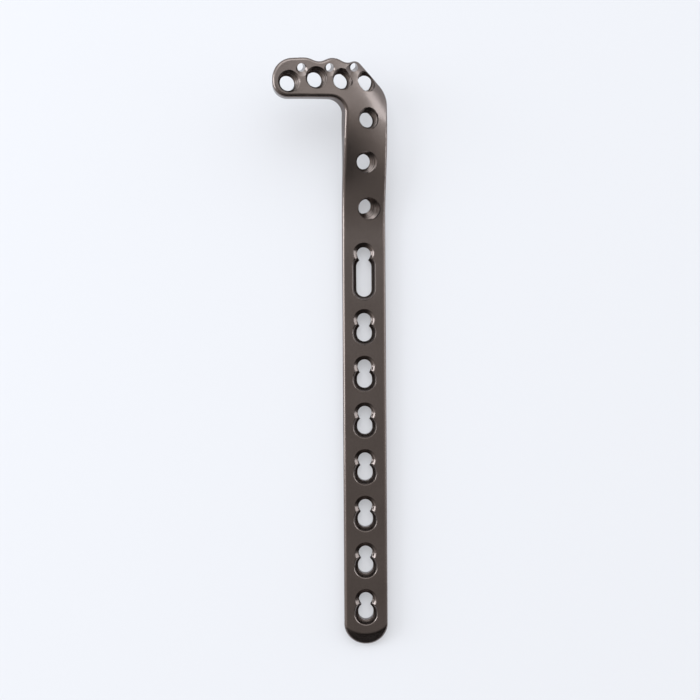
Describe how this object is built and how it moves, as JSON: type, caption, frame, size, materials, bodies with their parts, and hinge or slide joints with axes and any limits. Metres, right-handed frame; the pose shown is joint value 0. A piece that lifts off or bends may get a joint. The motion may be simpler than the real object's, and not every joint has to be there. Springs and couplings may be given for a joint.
{
  "type": "orthopedic bone plate",
  "caption": "L-shaped bent bone plate: flat shaft with combination screw holes and a slot, twisted neck and curved head with leaning locking holes and small wire holes.",
  "frame": {"origin": "on the axis of the threaded half of the combination hole nearest the tip, in the plane of the shaft's underside", "axes": "+Y up the shaft to the head, +X to the side that the head's arm turns away from, +Z away from the bone"},
  "size_m": [0.0312, 0.1615, 0.017],
  "materials": {
    "anodised_titanium": "satin, dark grey-brown anodised titanium"
  },
  "bodies": {
    "root": {"bone_plate": "anodised_titanium"}
  },
  "joints": []
}
